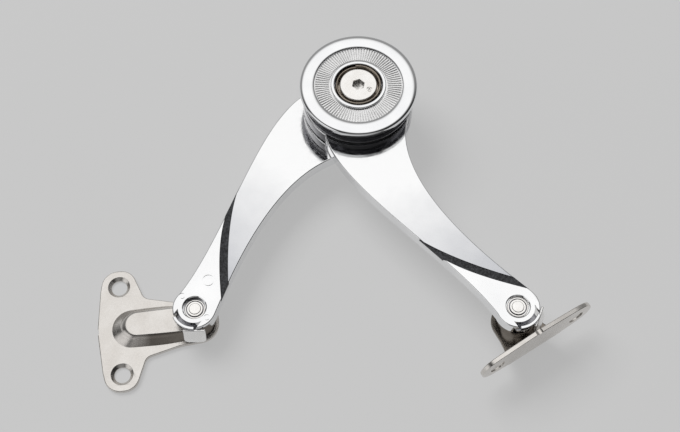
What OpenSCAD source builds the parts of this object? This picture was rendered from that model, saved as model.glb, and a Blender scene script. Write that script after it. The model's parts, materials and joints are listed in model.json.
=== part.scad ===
// Friction stay hinge for a flap: two polished arms stacked on a friction hub,
// each clipped to a pressed bracket, one flat and one bent upright.
// Origin: middle of the flat bracket's two screw holes, on its back face.
// +Z is the back face's inward normal and the direction of every pivot axis.

/* [Reach and pose] */
// Distance from the hub axis to each end pivot
arm_length = 96.3; // [92:0.1:102]
// Direction of the lower arm, from the cabinet pivot to the hub
lower_arm_angle = 48.6; // [40:0.1:58]
// Direction of the upper arm, from the hub to the flap pivot
upper_arm_angle = -63.8; // [-75:0.1:-55]
// Distance from a bracket's screw line to its pivot
pivot_reach = 26.7; // [26:0.1:28]

/* [Arms] */
// Thickness of each arm
arm_thickness = 5; // [4.8:0.1:5.4]
// Radius of each arm's disc at the hub
arm_disc_radius = 19.8; // [19:0.1:20]
// Radius of each arm's round end
arm_end_radius = 7.4; // [7.1:0.05:7.6]
// Depth of the groove that holds the dark inlay
inlay_groove_depth = 1.2; // [0.8:0.1:1.5]
// How far the inlay stays below the arm's face
inlay_drop = 0.3; // [0.1:0.05:0.5]
// Depth of the casting recess in each arm's underside
underside_recess = 1.2; // [0.4:0.1:1.6]
// How far the lower arm's inlay sits from the mean place along the arm
lower_inlay_shift = -1.5; // [-2:0.1:2]
// How far the upper arm's inlay sits from the mean place along the arm
upper_inlay_shift = 1.5; // [-2:0.1:2]

/* [Hub] */
// Radius of the cap at its widest
cap_radius = 20.9; // [20.4:0.1:21.5]
// Height of the cap, from its underside to the top of its rim
cap_height = 7.6; // [7.6:0.1:9]
// Radius of the adjusting screw's head
screw_head_radius = 6.6; // [5.5:0.1:6.7]
// Hexagon socket of the adjusting screw, across its flats
socket_width = 4; // [3:0.5:5]

/* [Brackets] */
// Distance between a bracket's two screw holes
screw_spacing = 32; // [32:0.5:36]
// Radius of the screw holes
screw_hole_radius = 2.75; // [2:0.05:3]
// Radius of the countersinks at the surface
countersink_radius = 3.75; // [3.4:0.05:4.2]
// Thickness of the pressed sheet
sheet = 1.6; // [1.2:0.1:1.8]
// Height of the pressed boss, from the back face to its flat top
boss_height = 5.6; // [5:0.1:6]

/* [Release buttons] */
// Travel of a release button towards its pivot
button_travel = 1.1; // [0.8:0.05:1.15]
// Width of a release button's finger pad
pad_width = 7.5; // [6:0.1:8]

/* [Hidden] */
$fn = 96;

chrome = [0.9, 0.91, 0.93];
nickel = [0.8, 0.78, 0.75];
satin = [0.74, 0.72, 0.69];
dark_plastic = [0.12, 0.12, 0.13];
nylon = [0.3, 0.3, 0.31];
eps = 0.01;
cut = 0.2;

// Levels, upwards from the cabinet panel
arm_over_boss = 4;
lower_z = boss_height + arm_over_boss;
lower_top = lower_z + arm_thickness;
middle_washer_thickness = 0.85;
slide_gap = 0.05;
upper_z = lower_top + middle_washer_thickness + slide_gap;
upper_top = upper_z + arm_thickness;
upper_washer_thickness = 1.1;
cap_z = upper_top + slide_gap + upper_washer_thickness;
cap_top = cap_z + cap_height;
hub_base_thickness = 4.6;
hub_base_z = lower_z - hub_base_thickness;
flap_z = upper_z - arm_over_boss - boss_height;

hub = [pivot_reach + arm_length * cos(lower_arm_angle), arm_length * sin(lower_arm_angle)];

// Hub radii
sleeve_radius = 9;
running_gap = 0.05;
shank_radius = 4;
floor_thickness = 1.8;
screw_pocket_radius = 8.5;
bezel_radius = 9.8;
ring_radius = 15.6;
ring_floor_drop = 1.6;
head_drop = 0.65;
head_thickness = 2.3;
head_base_z = cap_top - head_drop - head_thickness;
pressure_washer_thickness = 0.8;
disc_thickness = 0.5;
disc_dish = 0.4;
bezel_drop = 4;

// Arm end radii and heights, measured from the arm's underside
recess_radius = 3.85;
bush_radius = 3.5;
stud_radius = 1.95;
stud_neck_radius = 1.2;
bush_seat_z = 2;
recess_floor_z = 2.6;
lower_bush_top = 3.7;
upper_bush_top = 4.6;
pocket_height = 1.7;
skin_z = arm_thickness - 1.4;
slider_z = 0.3;
slider_thickness = 1.2;
slider_back = 5.6;
keeper_thickness = 1;
washer_thickness = 0.9;
collar_height = 2;
pad_angle = 35;
pad_drop = 3.5;
strip_inner = 6.8;
end_wall_radius = strip_inner - button_travel - 0.15;
strip_outer = 7.9;
strip_side = [-3.85, 4.65];
lower_stud_top = 3.9;
upper_stud_top = 4.8;

// Flap bracket: its back face and its screw holes, measured from its pivot
flap_back = 12;
flap_hole_height = 8.3;

// ---------- curves ----------

// A point on a cubic curve with four control points
function curve(p, t) = pow(1 - t, 3) * p[0] + 3 * t * pow(1 - t, 2) * p[1]
    + 3 * t * t * (1 - t) * p[2] + pow(t, 3) * p[3];
function curve_points(p, from = 0, to = 1, steps = 24) =
    [for (i = [0 : steps]) curve(p, from + (to - from) * i / steps)];
function reversed(list) = [for (i = [len(list) - 1 : -1 : 0]) list[i]];
function shifted(list, by) = [for (p = list) p + by];

// The arm's two long sides, from the disc to the round end
convex_side = [[7, -18.5], [25.7, -26], [68.8, -7.8], [arm_length - 1.5, -arm_end_radius + 0.15]];
hollow_side = [[17, 10.1], [37.2, -11.2], [86.2, 5.1], [arm_length - 1.5, arm_end_radius - 0.15]];
// The two sides of the slanting inlay
inlay_near = [[45, -17], [57, -15.5], [73, -6], [90, 9]];
inlay_far = [[59, -14.2], [72, -11], [83, -1.5], [95, 9.5]];

module arm_outline() {
    circle(r = arm_disc_radius, $fn = 180);
    translate([arm_length, 0]) circle(r = arm_end_radius);
    polygon(concat([[0, 0]], curve_points(convex_side), reversed(curve_points(hollow_side))));
}

module inlay_outline(shift) {
    intersection() {
        arm_outline();
        translate([shift, 0]) polygon(concat(curve_points(inlay_near), reversed(curve_points(inlay_far))));
    }
}

// ---------- placing ----------

module on_lower_arm() translate([hub[0], hub[1], lower_z]) rotate(lower_arm_angle + 180) children();
module on_upper_arm() translate([hub[0], hub[1], upper_z]) rotate(upper_arm_angle) children();
module at_pivot() translate([arm_length, 0, 0]) children();
module at_hub(z) translate([hub[0], hub[1], z]) children();
module at_cabinet_pivot(z) translate([pivot_reach, 0, z]) children();
module at_flap_pivot(z) translate([hub[0], hub[1], z]) rotate(upper_arm_angle) at_pivot() children();

module ring(outer, inner, height) {
    difference() {
        cylinder(r = outer, h = height);
        translate([0, 0, -cut]) cylinder(r = inner, h = height + 2 * cut);
    }
}

// ---------- arms ----------

module arm(hub_bore, inlay_shift) {
    recess_wall = 3.2;
    difference() {
        linear_extrude(arm_thickness) arm_outline();
        translate([0, 0, -cut]) cylinder(r = hub_bore, h = arm_thickness + 2 * cut);
        translate([0, 0, arm_thickness - inlay_groove_depth])
            linear_extrude(inlay_groove_depth + cut) inlay_outline(inlay_shift);
        translate([0, 0, -cut]) linear_extrude(underside_recess + cut)
            polygon(concat(shifted(curve_points(convex_side, 0.3, 0.76, 12), [0, recess_wall]),
                reversed(shifted(curve_points(hollow_side, 0.3, 0.82, 12), [0, -recess_wall]))));
        at_pivot() arm_end_cuts();
    }
}

module arm_end_cuts() {
    pocket_half_width = 4.6;
    spring_half_width = 1.4;
    translate([0, 0, -cut]) cylinder(r = 2.5, h = arm_thickness);
    translate([0, 0, bush_seat_z]) cylinder(r = bush_radius, h = arm_thickness);
    translate([0, 0, recess_floor_z]) cylinder(r = recess_radius, h = arm_thickness);
    // pocket for the slider, and a narrow one for its spring
    translate([-slider_back - button_travel - 0.5, -pocket_half_width, -cut])
        cube([slider_back + button_travel + 10.3, 2 * pocket_half_width, pocket_height + cut]);
    translate([-11.2, -spring_half_width, -cut]) cube([6, 2 * spring_half_width, 2.4 + cut]);
    // side wall cut back under the top skin, where the button moves
    difference() {
        rotate(20) translate([3, -10, -cut]) cube([8, 20, skin_z + cut]);
        translate([0, 0, -2 * cut]) cylinder(r = end_wall_radius, h = arm_thickness);
    }
    // arc slot through the top skin
    difference() {
        translate([2, strip_side[0] - 0.4, 0]) cube([9, strip_side[1] - strip_side[0] + 0.7, 10]);
        translate([0, 0, -cut]) cylinder(r = end_wall_radius, h = 11);
    }
}

module inlay_strip(shift) {
    translate([0, 0, arm_thickness - inlay_groove_depth])
        linear_extrude(inlay_groove_depth - inlay_drop) inlay_outline(shift);
}

module pivot_bush(top) {
    chamfer = 0.25;
    rotate_extrude() polygon([[stud_radius + running_gap, bush_seat_z], [bush_radius, bush_seat_z],
        [bush_radius, top - chamfer], [bush_radius - chamfer, top],
        [stud_radius + running_gap + chamfer, top], [stud_radius + running_gap, top - chamfer]]);
}

module keeper_plate() {
    half_width = 5.4;
    length = 8;
    tail_half_width = 2.4;
    tail_length = 12.4;
    translate([0, 0, -keeper_thickness]) difference() {
        linear_extrude(keeper_thickness) {
            circle(r = half_width);
            translate([-length, -half_width]) square([length, 2 * half_width]);
            translate([-tail_length, -tail_half_width]) square([tail_length, 2 * tail_half_width]);
        }
        translate([0, 0, -cut]) cylinder(r = 3.2, h = keeper_thickness + 2 * cut);
    }
}

// ---------- release buttons ----------

module release_slider() {
    half_width = 4.2;
    latch_shift = 0.95;
    latch_radius = 2.35;
    web_top = skin_z - 0.2;
    difference() {
        intersection() {
            translate([-slider_back, -half_width, slider_z])
                cube([slider_back + 6.8, 2 * half_width, slider_thickness]);
            translate([0, 0, slider_z - cut]) cylinder(r = 7.2, h = 2);
        }
        translate([latch_shift, 0, slider_z - cut]) cylinder(r = latch_radius, h = 2);
    }
    // upright rib that carries the bright cap
    translate([6.75, -2.4, slider_z]) cube([0.6, 5.1, web_top - slider_z]);
    finger_pad(web_top);
}

// Bent pad: upright beside the arm's end, then flared outwards below it
module finger_pad(top) {
    corner = 1.4;
    profile = [[7.15, top], [8.05, top], [8.1, 0.6], [9.35, -pad_drop + 0.3],
        [9.1, -pad_drop], [8.6, -pad_drop], [7.2, 0.4]];
    intersection() {
        rotate(pad_angle) translate([0, pad_width / 2, 0]) rotate([90, 0, 0])
            linear_extrude(pad_width) polygon(profile);
        rotate(pad_angle) rotate([90, 0, 90]) linear_extrude(12) {
            translate([-pad_width / 2, -pad_drop + corner]) square([pad_width, 10]);
            translate([-pad_width / 2 + corner, -pad_drop]) square([pad_width - 2 * corner, 3]);
            for (side = [-1, 1])
                translate([side * (pad_width / 2 - corner), -pad_drop + corner]) circle(r = corner);
        }
    }
}

module release_cap() {
    base = skin_z - 0.2;
    intersection() {
        translate([0, 0, base]) ring(strip_outer, strip_inner, arm_thickness - base - 0.05);
        translate([3.4, strip_side[0], 0]) cube([8, strip_side[1] - strip_side[0], 6]);
    }
}

// Round wire coil along X, swept as rings of points round a helix
module wire_coil(coil_radius, wire_radius, length, turns, steps = 16, sides = 8) {
    count = turns * steps;
    function on_coil(i, j) =
        let (a = 360 * i / steps, b = 360 * j / sides, r = coil_radius + wire_radius * cos(b))
        [length * i / count + wire_radius * sin(b), r * cos(a), r * sin(a)];
    points = [for (i = [0 : count]) for (j = [0 : sides - 1]) on_coil(i, j)];
    walls = [for (i = [0 : count - 1]) for (j = [0 : sides - 1])
        [i * sides + j, i * sides + (j + 1) % sides,
            (i + 1) * sides + (j + 1) % sides, (i + 1) * sides + j]];
    ends = [[for (j = [sides - 1 : -1 : 0]) j], [for (j = [0 : sides - 1]) count * sides + j]];
    polyhedron(points = points, faces = concat(walls, ends), convexity = 6);
}

module release_spring() {
    translate([-10.95, 0, 1.15]) wire_coil(0.75, 0.2, 5.1, 6, 12, 6);
}

// ---------- hub ----------

module hub_base() color(chrome) at_hub(hub_base_z) {
    edge = 1.2;
    nut_pocket_radius = 7.6;
    difference() {
        rotate_extrude($fn = 180) {
            polygon([[0, 0], [arm_disc_radius - edge, 0], [arm_disc_radius, edge],
                [arm_disc_radius, hub_base_thickness], [0, hub_base_thickness]]);
        }
        translate([0, 0, -cut]) cylinder(r = nut_pocket_radius, h = hub_base_thickness + 2 * cut, $fn = 6);
        // shallow dished ring in the underside
        translate([0, 0, -cut]) ring(16.5, 10.5, cut + 0.8);
    }
}

module hub_nut() color(satin) at_hub(hub_base_z) {
    nut_radius = 7.5;
    translate([0, 0, 0.6]) difference() {
        cylinder(r = nut_radius, h = hub_base_thickness - 0.6, $fn = 6);
        translate([0, 0, -cut]) cylinder(r = shank_radius + running_gap, h = hub_base_thickness);
    }
}

module hub_sleeve() color(satin) at_hub(lower_z)
    ring(sleeve_radius, shank_radius + running_gap, cap_z - lower_z);

module friction_washer(thickness) ring(arm_disc_radius - 1, sleeve_radius, thickness);

module middle_friction_washer() color(nylon) at_hub(lower_top)
    friction_washer(middle_washer_thickness);

module upper_friction_washer() color(nylon) at_hub(upper_top + slide_gap)
    friction_washer(upper_washer_thickness);

module hub_cap() color(chrome) at_hub(cap_z) {
    wall = arm_disc_radius;
    rim_height = 2.3;
    rim_round = 1.6;
    groove_depth = 0.25;
    groove_height = 0.3;
    difference() {
        rotate_extrude($fn = 180) {
            square([wall, cap_height - rim_round]);
            translate([0, cap_height - rim_height]) square([cap_radius, rim_height - rim_round]);
            square([cap_radius - rim_round, cap_height]);
            translate([cap_radius - rim_round, cap_height - rim_round]) circle(r = rim_round);
        }
        translate([0, 0, -cut]) cylinder(r = shank_radius + running_gap, h = cap_height);
        translate([0, 0, floor_thickness]) cylinder(r = screw_pocket_radius, h = cap_height);
        translate([0, 0, cap_height - bezel_drop]) cylinder(r = bezel_radius, h = cap_height);
        translate([0, 0, cap_height - ring_floor_drop]) cylinder(r = ring_radius, h = cap_height);
        for (z = [1.2, 3.1])
            translate([0, 0, z]) ring(cap_radius + 1, wall - groove_depth, groove_height);
    }
}

module ribbed_ring() color(satin) at_hub(cap_top - ring_floor_drop)
    ring(ring_radius, bezel_radius, 0.7);

module bore_bezel() color(chrome) at_hub(cap_top - bezel_drop) {
    bead = (bezel_radius - screw_pocket_radius) / 2;
    rotate_extrude() {
        translate([screw_pocket_radius, 0]) square([2 * bead, bezel_drop - 1]);
        translate([screw_pocket_radius + bead, bezel_drop - 1]) circle(r = bead, $fn = 48);
    }
}

// Two dished springs with their raised inner edges together
module disc_spring() {
    inner = 4.4;
    outer = 8.2;
    rotate_extrude() polygon([[inner, disc_dish], [outer, 0], [outer, disc_thickness],
        [inner, disc_dish + disc_thickness]]);
}

module disc_springs() color(satin) at_hub(cap_z + floor_thickness) {
    disc_spring();
    translate([0, 0, 2 * (disc_thickness + disc_dish) + 0.1]) mirror([0, 0, 1]) disc_spring();
}

module pressure_washer() color(nickel)
    at_hub(head_base_z - pressure_washer_thickness - slide_gap)
        ring(8.3, 4.4, pressure_washer_thickness);

module adjusting_screw() color(nickel) at_hub(cap_z) {
    socket_depth = 2.4;
    edge = 0.35;
    head_z = head_base_z - cap_z;
    length = cap_z - hub_base_z + head_z - 1;
    socket_radius = socket_width / 2 / cos(30);
    difference() {
        union() {
            translate([0, 0, head_z]) rotate_extrude()
                polygon([[0, 0], [screw_head_radius, 0], [screw_head_radius, head_thickness - edge],
                    [screw_head_radius - edge, head_thickness], [0, head_thickness]]);
            translate([0, 0, head_z - length]) cylinder(r = shank_radius, h = length + eps);
        }
        translate([0, 0, head_z + head_thickness - socket_depth])
            cylinder(r = socket_radius, h = socket_depth + cut, $fn = 6);
    }
}

module locking_coil() color(satin) at_hub(head_base_z + 0.6)
    rotate([0, -90, 0]) wire_coil(7.65, 0.42, 1.7, 2, 36, 8);

// ---------- brackets ----------

module plate_outline() {
    ear_radius = 6.1;
    ear_y = screw_spacing / 2;
    back_radius = 86;
    back_x = -7.8;
    neck_x = 8.5;
    neck_y = 10.9;
    for (side = [-1, 1]) translate([0, side * ear_y]) circle(r = ear_radius);
    polygon([[-ear_radius, ear_y], [-ear_radius, -ear_y], [5.3, -ear_y - 3], [neck_x, -neck_y],
        [neck_x, neck_y], [5.3, ear_y + 3]]);
    intersection() {
        translate([back_x + back_radius, 0]) circle(r = back_radius, $fn = 360);
        translate([back_x - 1, -ear_y - 1]) square([10, 2 * ear_y + 2]);
    }
}

module centring_notch() translate([-9.3, 0]) circle(r = 2);

module tongue_outline(from) {
    polygon([[from, 10.9], [20, 8], [pivot_reach + 1, 6.9], [pivot_reach + 1, -6.9],
        [20, -8], [from, -10.9]]);
    translate([pivot_reach, 0]) circle(r = 7);
}

// Pressed boss along the tongue, smaller by inset on every side
module boss(from, height, inset, base_z) {
    $fn = 32;
    hull() {
        translate([from, 0, base_z]) cylinder(r = 6.9 - inset, h = eps);
        translate([16, 0, base_z]) cylinder(r = 7.2 - inset, h = eps);
        translate([pivot_reach, 0, base_z]) cylinder(r = 5.9 - inset, h = eps);
        translate([from + 1.7, 0, height - eps]) cylinder(r = 4.8 - inset, h = eps);
        translate([pivot_reach, 0, height - eps]) cylinder(r = 4.7 - inset / 2, h = eps);
    }
}

module countersunk_holes() {
    for (side = [-1, 1]) translate([0, side * screw_spacing / 2, 0]) {
        translate([0, 0, -cut]) cylinder(r = screw_hole_radius, h = sheet + 2 * cut);
        translate([0, 0, sheet - (countersink_radius - screw_hole_radius)])
            cylinder(r1 = screw_hole_radius, r2 = countersink_radius + cut,
                h = countersink_radius - screw_hole_radius + cut);
    }
}

module tongue_with_boss(flange_from, boss_from) {
    difference() {
        union() {
            linear_extrude(sheet) tongue_outline(flange_from);
            boss(boss_from, boss_height, 0, sheet - cut);
        }
        boss(boss_from, boss_height - sheet, 1.5, -cut);
        translate([pivot_reach, 0, 0]) cylinder(r = 2.5, h = boss_height + 1);
    }
}

module cabinet_bracket() color(nickel) {
    difference() {
        union() {
            linear_extrude(sheet) difference() {
                plate_outline();
                centring_notch();
            }
            linear_extrude(sheet) tongue_outline(8);
            boss(4, boss_height, 0, sheet - cut);
        }
        boss(4, boss_height - sheet, 1.5, -cut);
        translate([pivot_reach, 0, 0]) cylinder(r = 2.5, h = boss_height + 1);
        countersunk_holes();
    }
}

// The same blank with its plate bent upright, 90 degrees to the tongue
module flap_bracket() color(nickel) at_flap_pivot(flap_z) {
    bend = 2.4;
    bend_half = 11;
    difference() {
        union() {
            translate([flap_back, 0, flap_hole_height]) rotate([0, 90, 180]) flap_plate();
            intersection() {
                rotate(180) translate([-pivot_reach, 0, 0])
                    tongue_with_boss(pivot_reach - flap_back, pivot_reach - flap_back + 8.6);
                translate([-20, -20, -1]) cube([20 + flap_back, 40, 20]);
            }
        }
        // rounded outer corner of the bend
        translate([flap_back - bend, -bend_half - 1, 0]) difference() {
            translate([0, 0, -cut]) cube([bend + cut, 2 * bend_half + 2, bend + cut]);
            translate([0, -cut, bend]) rotate([-90, 0, 0]) cylinder(r = bend, h = 2 * bend_half + 3);
        }
    }
}

// Upright plate in its own plane: X down towards the tongue, Z towards the arm
module flap_plate() {
    difference() {
        linear_extrude(sheet) difference() {
            intersection() {
                plate_outline();
                translate([-10, -30]) square([10 + flap_hole_height, 60]);
            }
            centring_notch();
        }
        countersunk_holes();
    }
}

// Stud riveted into the boss, measured from the boss's flat top
module stud(top) {
    head = 3.6;
    neck_z = arm_over_boss + slider_z - 0.2;
    neck_height = slider_thickness + 0.4;
    chamfer = 0.3;
    rotate_extrude() polygon([[0, -sheet - 1.2], [head - 0.4, -sheet - 1.2], [head, -sheet - 0.8],
        [head, -sheet], [2.5, -sheet], [2.5, 0], [4.2, 0], [4.2, collar_height],
        [stud_radius, collar_height], [stud_radius, neck_z], [stud_neck_radius, neck_z],
        [stud_neck_radius, neck_z + neck_height], [stud_radius, neck_z + neck_height],
        [stud_radius, arm_over_boss + top - chamfer], [stud_radius - chamfer, arm_over_boss + top],
        [0, arm_over_boss + top]]);
}

module stud_washer() translate([0, 0, collar_height]) ring(5.4, stud_radius + running_gap, washer_thickness);

module cabinet_stud() color(nickel) at_cabinet_pivot(boss_height) stud(lower_stud_top);
module cabinet_stud_washer() color(nylon) at_cabinet_pivot(boss_height) stud_washer();
module flap_stud() color(nickel) at_flap_pivot(upper_z - arm_over_boss) stud(upper_stud_top);
module flap_stud_washer() color(nylon) at_flap_pivot(upper_z - arm_over_boss) stud_washer();

// ---------- arm sub-parts ----------

module lower_arm() color(chrome) on_lower_arm() arm(sleeve_radius, lower_inlay_shift);
module lower_inlay() color(dark_plastic) on_lower_arm() inlay_strip(lower_inlay_shift);
module lower_pivot_bush() color(nickel) on_lower_arm() at_pivot() pivot_bush(lower_bush_top);
module lower_keeper_plate() color(satin) on_lower_arm() at_pivot() keeper_plate();
module lower_release_slider() color(satin) on_lower_arm() at_pivot() release_slider();
module lower_release_cap() color(chrome) on_lower_arm() at_pivot() release_cap();
module lower_release_spring() color(satin) on_lower_arm() at_pivot() release_spring();

module upper_arm() color(chrome)
    on_upper_arm() arm(sleeve_radius + running_gap, upper_inlay_shift);
module upper_inlay() color(dark_plastic) on_upper_arm() inlay_strip(upper_inlay_shift);
module upper_pivot_bush() color(nickel) on_upper_arm() at_pivot() pivot_bush(upper_bush_top);
module upper_keeper_plate() color(satin) on_upper_arm() at_pivot() keeper_plate();
module upper_release_slider() color(satin) on_upper_arm() at_pivot() release_slider();
module upper_release_cap() color(chrome) on_upper_arm() at_pivot() release_cap();
module upper_release_spring() color(satin) on_upper_arm() at_pivot() release_spring();

cabinet_bracket();
cabinet_stud();
cabinet_stud_washer();
lower_arm();
lower_inlay();
lower_pivot_bush();
lower_keeper_plate();
lower_release_slider();
lower_release_cap();
lower_release_spring();
hub_base();
hub_nut();
hub_sleeve();
middle_friction_washer();
upper_friction_washer();
hub_cap();
ribbed_ring();
bore_bezel();
disc_springs();
pressure_washer();
locking_coil();
adjusting_screw();
upper_arm();
upper_inlay();
upper_pivot_bush();
upper_keeper_plate();
upper_release_slider();
upper_release_cap();
upper_release_spring();
flap_bracket();
flap_stud();
flap_stud_washer();
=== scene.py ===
"""Friction stay hinge: detailed pieces, materials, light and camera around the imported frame.

Outlines are in millimetres in each piece's own plane, and place() carries them to the frame.
"""

import json
import math

import bmesh
import bpy
from mathutils import Matrix, Vector
from mathutils.geometry import tessellate_polygon


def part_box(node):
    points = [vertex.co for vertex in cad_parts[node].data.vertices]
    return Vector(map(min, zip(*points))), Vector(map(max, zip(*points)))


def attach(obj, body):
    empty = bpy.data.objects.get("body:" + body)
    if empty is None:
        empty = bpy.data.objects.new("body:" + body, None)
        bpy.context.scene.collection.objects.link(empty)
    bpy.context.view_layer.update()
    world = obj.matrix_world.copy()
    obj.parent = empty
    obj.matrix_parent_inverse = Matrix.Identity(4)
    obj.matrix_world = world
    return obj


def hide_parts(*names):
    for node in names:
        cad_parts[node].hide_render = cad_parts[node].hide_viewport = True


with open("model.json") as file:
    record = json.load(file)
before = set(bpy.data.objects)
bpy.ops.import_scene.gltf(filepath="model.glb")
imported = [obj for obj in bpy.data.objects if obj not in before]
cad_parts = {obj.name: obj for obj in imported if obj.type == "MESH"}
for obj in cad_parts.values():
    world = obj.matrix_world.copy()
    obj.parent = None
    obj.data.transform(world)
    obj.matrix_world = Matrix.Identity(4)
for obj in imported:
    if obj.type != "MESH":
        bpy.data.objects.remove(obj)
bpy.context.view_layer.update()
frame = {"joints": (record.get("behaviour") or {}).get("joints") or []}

MM = 0.001
SMOOTH_ANGLE = math.radians(32)
JOINTS = {j["name"]: Vector(j["pos_m"]) for j in frame["joints"] if "pos_m" in j}
P = JOINTS["cabinet_pivot"]
HUB = JOINTS["elbow"]
Q = JOINTS["flap_pivot"]

# ---------------- places


def low_z(node):
    """Height of a CAD node's underside, in metres."""
    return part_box(node)[0].z


def size_of(node):
    """A CAD node's radius, as half its width, and its height, in millimetres."""
    low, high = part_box(node)
    return (high.x - low.x) / MM / 2, (high.z - low.z) / MM


def place(origin, z, towards=None):
    """Matrix from a piece's own millimetres to the frame, with +X pointing towards a point."""
    angle = 0.0
    if towards is not None:
        angle = math.atan2(towards.y - origin.y, towards.x - origin.x)
    spot = Matrix.Translation((origin.x, origin.y, z))
    return spot @ Matrix.Rotation(angle, 4, "Z") @ Matrix.Scale(MM, 4)


ARM_LENGTH = (P.xy - HUB.xy).length / MM
LOWER_ARM = place(HUB, low_z("lower_arm"), P)
UPPER_ARM = place(HUB, low_z("upper_arm"), Q)
TO_PIVOT = Matrix.Translation((ARM_LENGTH, 0, 0))
ORIGIN = Vector((0, 0, 0))
CABINET = place(ORIGIN, 0)
FLAP = place(Q, low_z("flap_bracket"), Q + (Q - HUB))

# ---------------- outlines


def arc(cx, cy, r, start, end, steps):
    """Points round an arc, angles in degrees."""
    out = []
    for i in range(steps + 1):
        a = math.radians(start + (end - start) * i / steps)
        out.append((cx + r * math.cos(a), cy + r * math.sin(a)))
    return out


def circle(cx, cy, r, steps=64):
    return arc(cx, cy, r, 0, 360, steps)[:-1]


def curve(p, steps=28, start=0.0, end=1.0):
    """Points along a cubic curve with four control points."""
    out = []
    for i in range(steps + 1):
        t = start + (end - start) * i / steps
        k = ((1 - t) ** 3, 3 * t * (1 - t) ** 2, 3 * t * t * (1 - t), t**3)
        out.append(tuple(sum(k[j] * p[j][axis] for j in range(4)) for axis in (0, 1)))
    return out


def rounded(corners, step=9.0):
    """Closed outline from (x, y, corner radius) points."""
    out = []
    for i, (x, y, r) in enumerate(corners):
        here = Vector((x, y))
        before = (Vector(corners[i - 1][:2]) - here).normalized()
        after = (Vector(corners[(i + 1) % len(corners)][:2]) - here).normalized()
        half = before.angle(after) / 2
        turn = math.pi - 2 * half
        reach = r / math.tan(half)
        centre = here + (before + after).normalized() * (r / math.sin(half))
        first = here + before * reach - centre
        last = here + after * reach - centre
        sweep = first.angle_signed(last)
        steps = max(2, int(math.degrees(turn) / step))
        for k in range(steps + 1):
            spoke = first.copy()
            spoke.rotate(Matrix.Rotation(-sweep * k / steps, 2))
            out.append(tuple(centre + spoke))
    return out


def inset(points, distance):
    """Outline moved inwards by a distance (anticlockwise outlines), vertex by vertex."""
    out = []
    for i, here in enumerate(points):
        a, b, c = Vector(points[i - 1]), Vector(here), Vector(points[(i + 1) % len(points)])
        n1 = Vector((a.y - b.y, b.x - a.x)).normalized()
        n2 = Vector((b.y - c.y, c.x - b.x)).normalized()
        step = n1 + n2
        if step.length > 1e-6:
            stretch = max(0.5, math.sqrt(max(0.0, (1 + n1.dot(n2)) / 2)))
            step = step.normalized() / stretch
        else:
            step = n1
        out.append(tuple(b + step * distance))
    return out


# ---------------- meshes


class Shell:
    """A closed mesh put together from rings, strips between rings and level faces."""

    def __init__(self):
        self.bm = bmesh.new()

    def ring(self, points, z=None):
        if z is None:
            return [self.bm.verts.new(p) for p in points]
        return [self.bm.verts.new((x, y, z)) for x, y in points]

    def strip(self, a, b):
        n = len(a)
        for i in range(n):
            k = (i + 1) % n
            self.bm.faces.new((a[i], a[k], b[k], b[i]))

    def strips(self, rings):
        for a, b in zip(rings, rings[1:]):
            self.strip(a, b)

    def fill(self, outer, holes=()):
        rings = [outer, *holes]
        flat = [v for ring in rings for v in ring]
        for tri in tessellate_polygon([[v.co for v in ring] for ring in rings]):
            corners = [flat[i] for i in tri]
            if len(set(corners)) == 3:
                self.bm.faces.new(corners)

    def pole(self, ring, point):
        tip = self.bm.verts.new(point)
        for i, v in enumerate(ring):
            self.bm.faces.new((v, ring[(i + 1) % len(ring)], tip))

    def build(self, name, matrix=None):
        bmesh.ops.recalc_face_normals(self.bm, faces=self.bm.faces)
        mesh = bpy.data.meshes.new(name)
        self.bm.to_mesh(mesh)
        self.bm.free()
        piece = bpy.data.objects.new(name, mesh)
        bpy.context.scene.collection.objects.link(piece)
        if matrix is not None:
            mesh.transform(matrix)
        return piece


def prism(points, z0, z1, top_flare=0.0, flare_depth=0.0):
    """Straight-sided cutter or block, with its top opened out by a flare."""
    shell = Shell()
    rings = [shell.ring(points, z0)]
    if flare_depth:
        rings.append(shell.ring(points, z1 - flare_depth))
    rings.append(shell.ring(inset(points, -top_flare), z1))
    shell.strips(rings)
    shell.fill(rings[0])
    shell.fill(rings[-1])
    return shell.build("cutter")


def block(x0, x1, y0, y1, z0, z1):
    """Rectangular cutter or rib between opposite corners."""
    return prism([(x0, y0), (x1, y0), (x1, y1), (x0, y1)], z0, z1)


def lathe(name, profile, matrix, steps=128):
    """Solid of revolution from a closed (radius, height) profile. Radius 0 ends on the axis."""
    shell = Shell()
    rings = []
    for r, z in profile:
        rings.append(None if r < 1e-6 else shell.ring(circle(0, 0, r, steps), z))
    n = len(profile)
    closed = all(r > 1e-6 for r, _ in profile)
    for i in range(n if closed else n - 1):
        a, b = rings[i], rings[(i + 1) % n]
        if a is None and b is None:
            continue
        if a is None:
            shell.pole(b, (0, 0, profile[i][1]))
        elif b is None:
            shell.pole(a, (0, 0, profile[i + 1][1]))
        else:
            shell.strip(a, b)
    return shell.build(name, matrix)


def soft_edges(name, profile, matrix, steps=128):
    """Lathe from (radius, height, rounding) corners."""
    points = []
    n = len(profile)
    for i, (r, z, soft) in enumerate(profile):
        if soft <= 0:
            points.append((r, z))
            continue
        here = Vector((r, z))
        before = (Vector(profile[i - 1][:2]) - here).normalized()
        after = (Vector(profile[(i + 1) % n][:2]) - here).normalized()
        half = before.angle(after) / 2
        reach = soft / math.tan(half)
        centre = here + (before + after).normalized() * (soft / math.sin(half))
        first, last = here + before * reach - centre, here + after * reach - centre
        sweep = first.angle_signed(last)
        count = max(3, int(abs(math.degrees(sweep)) / 11))
        for k in range(count + 1):
            spoke = first.copy()
            spoke.rotate(Matrix.Rotation(-sweep * k / count, 2))
            points.append(tuple(centre + spoke))
    return lathe(name, points, matrix, steps)


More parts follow.
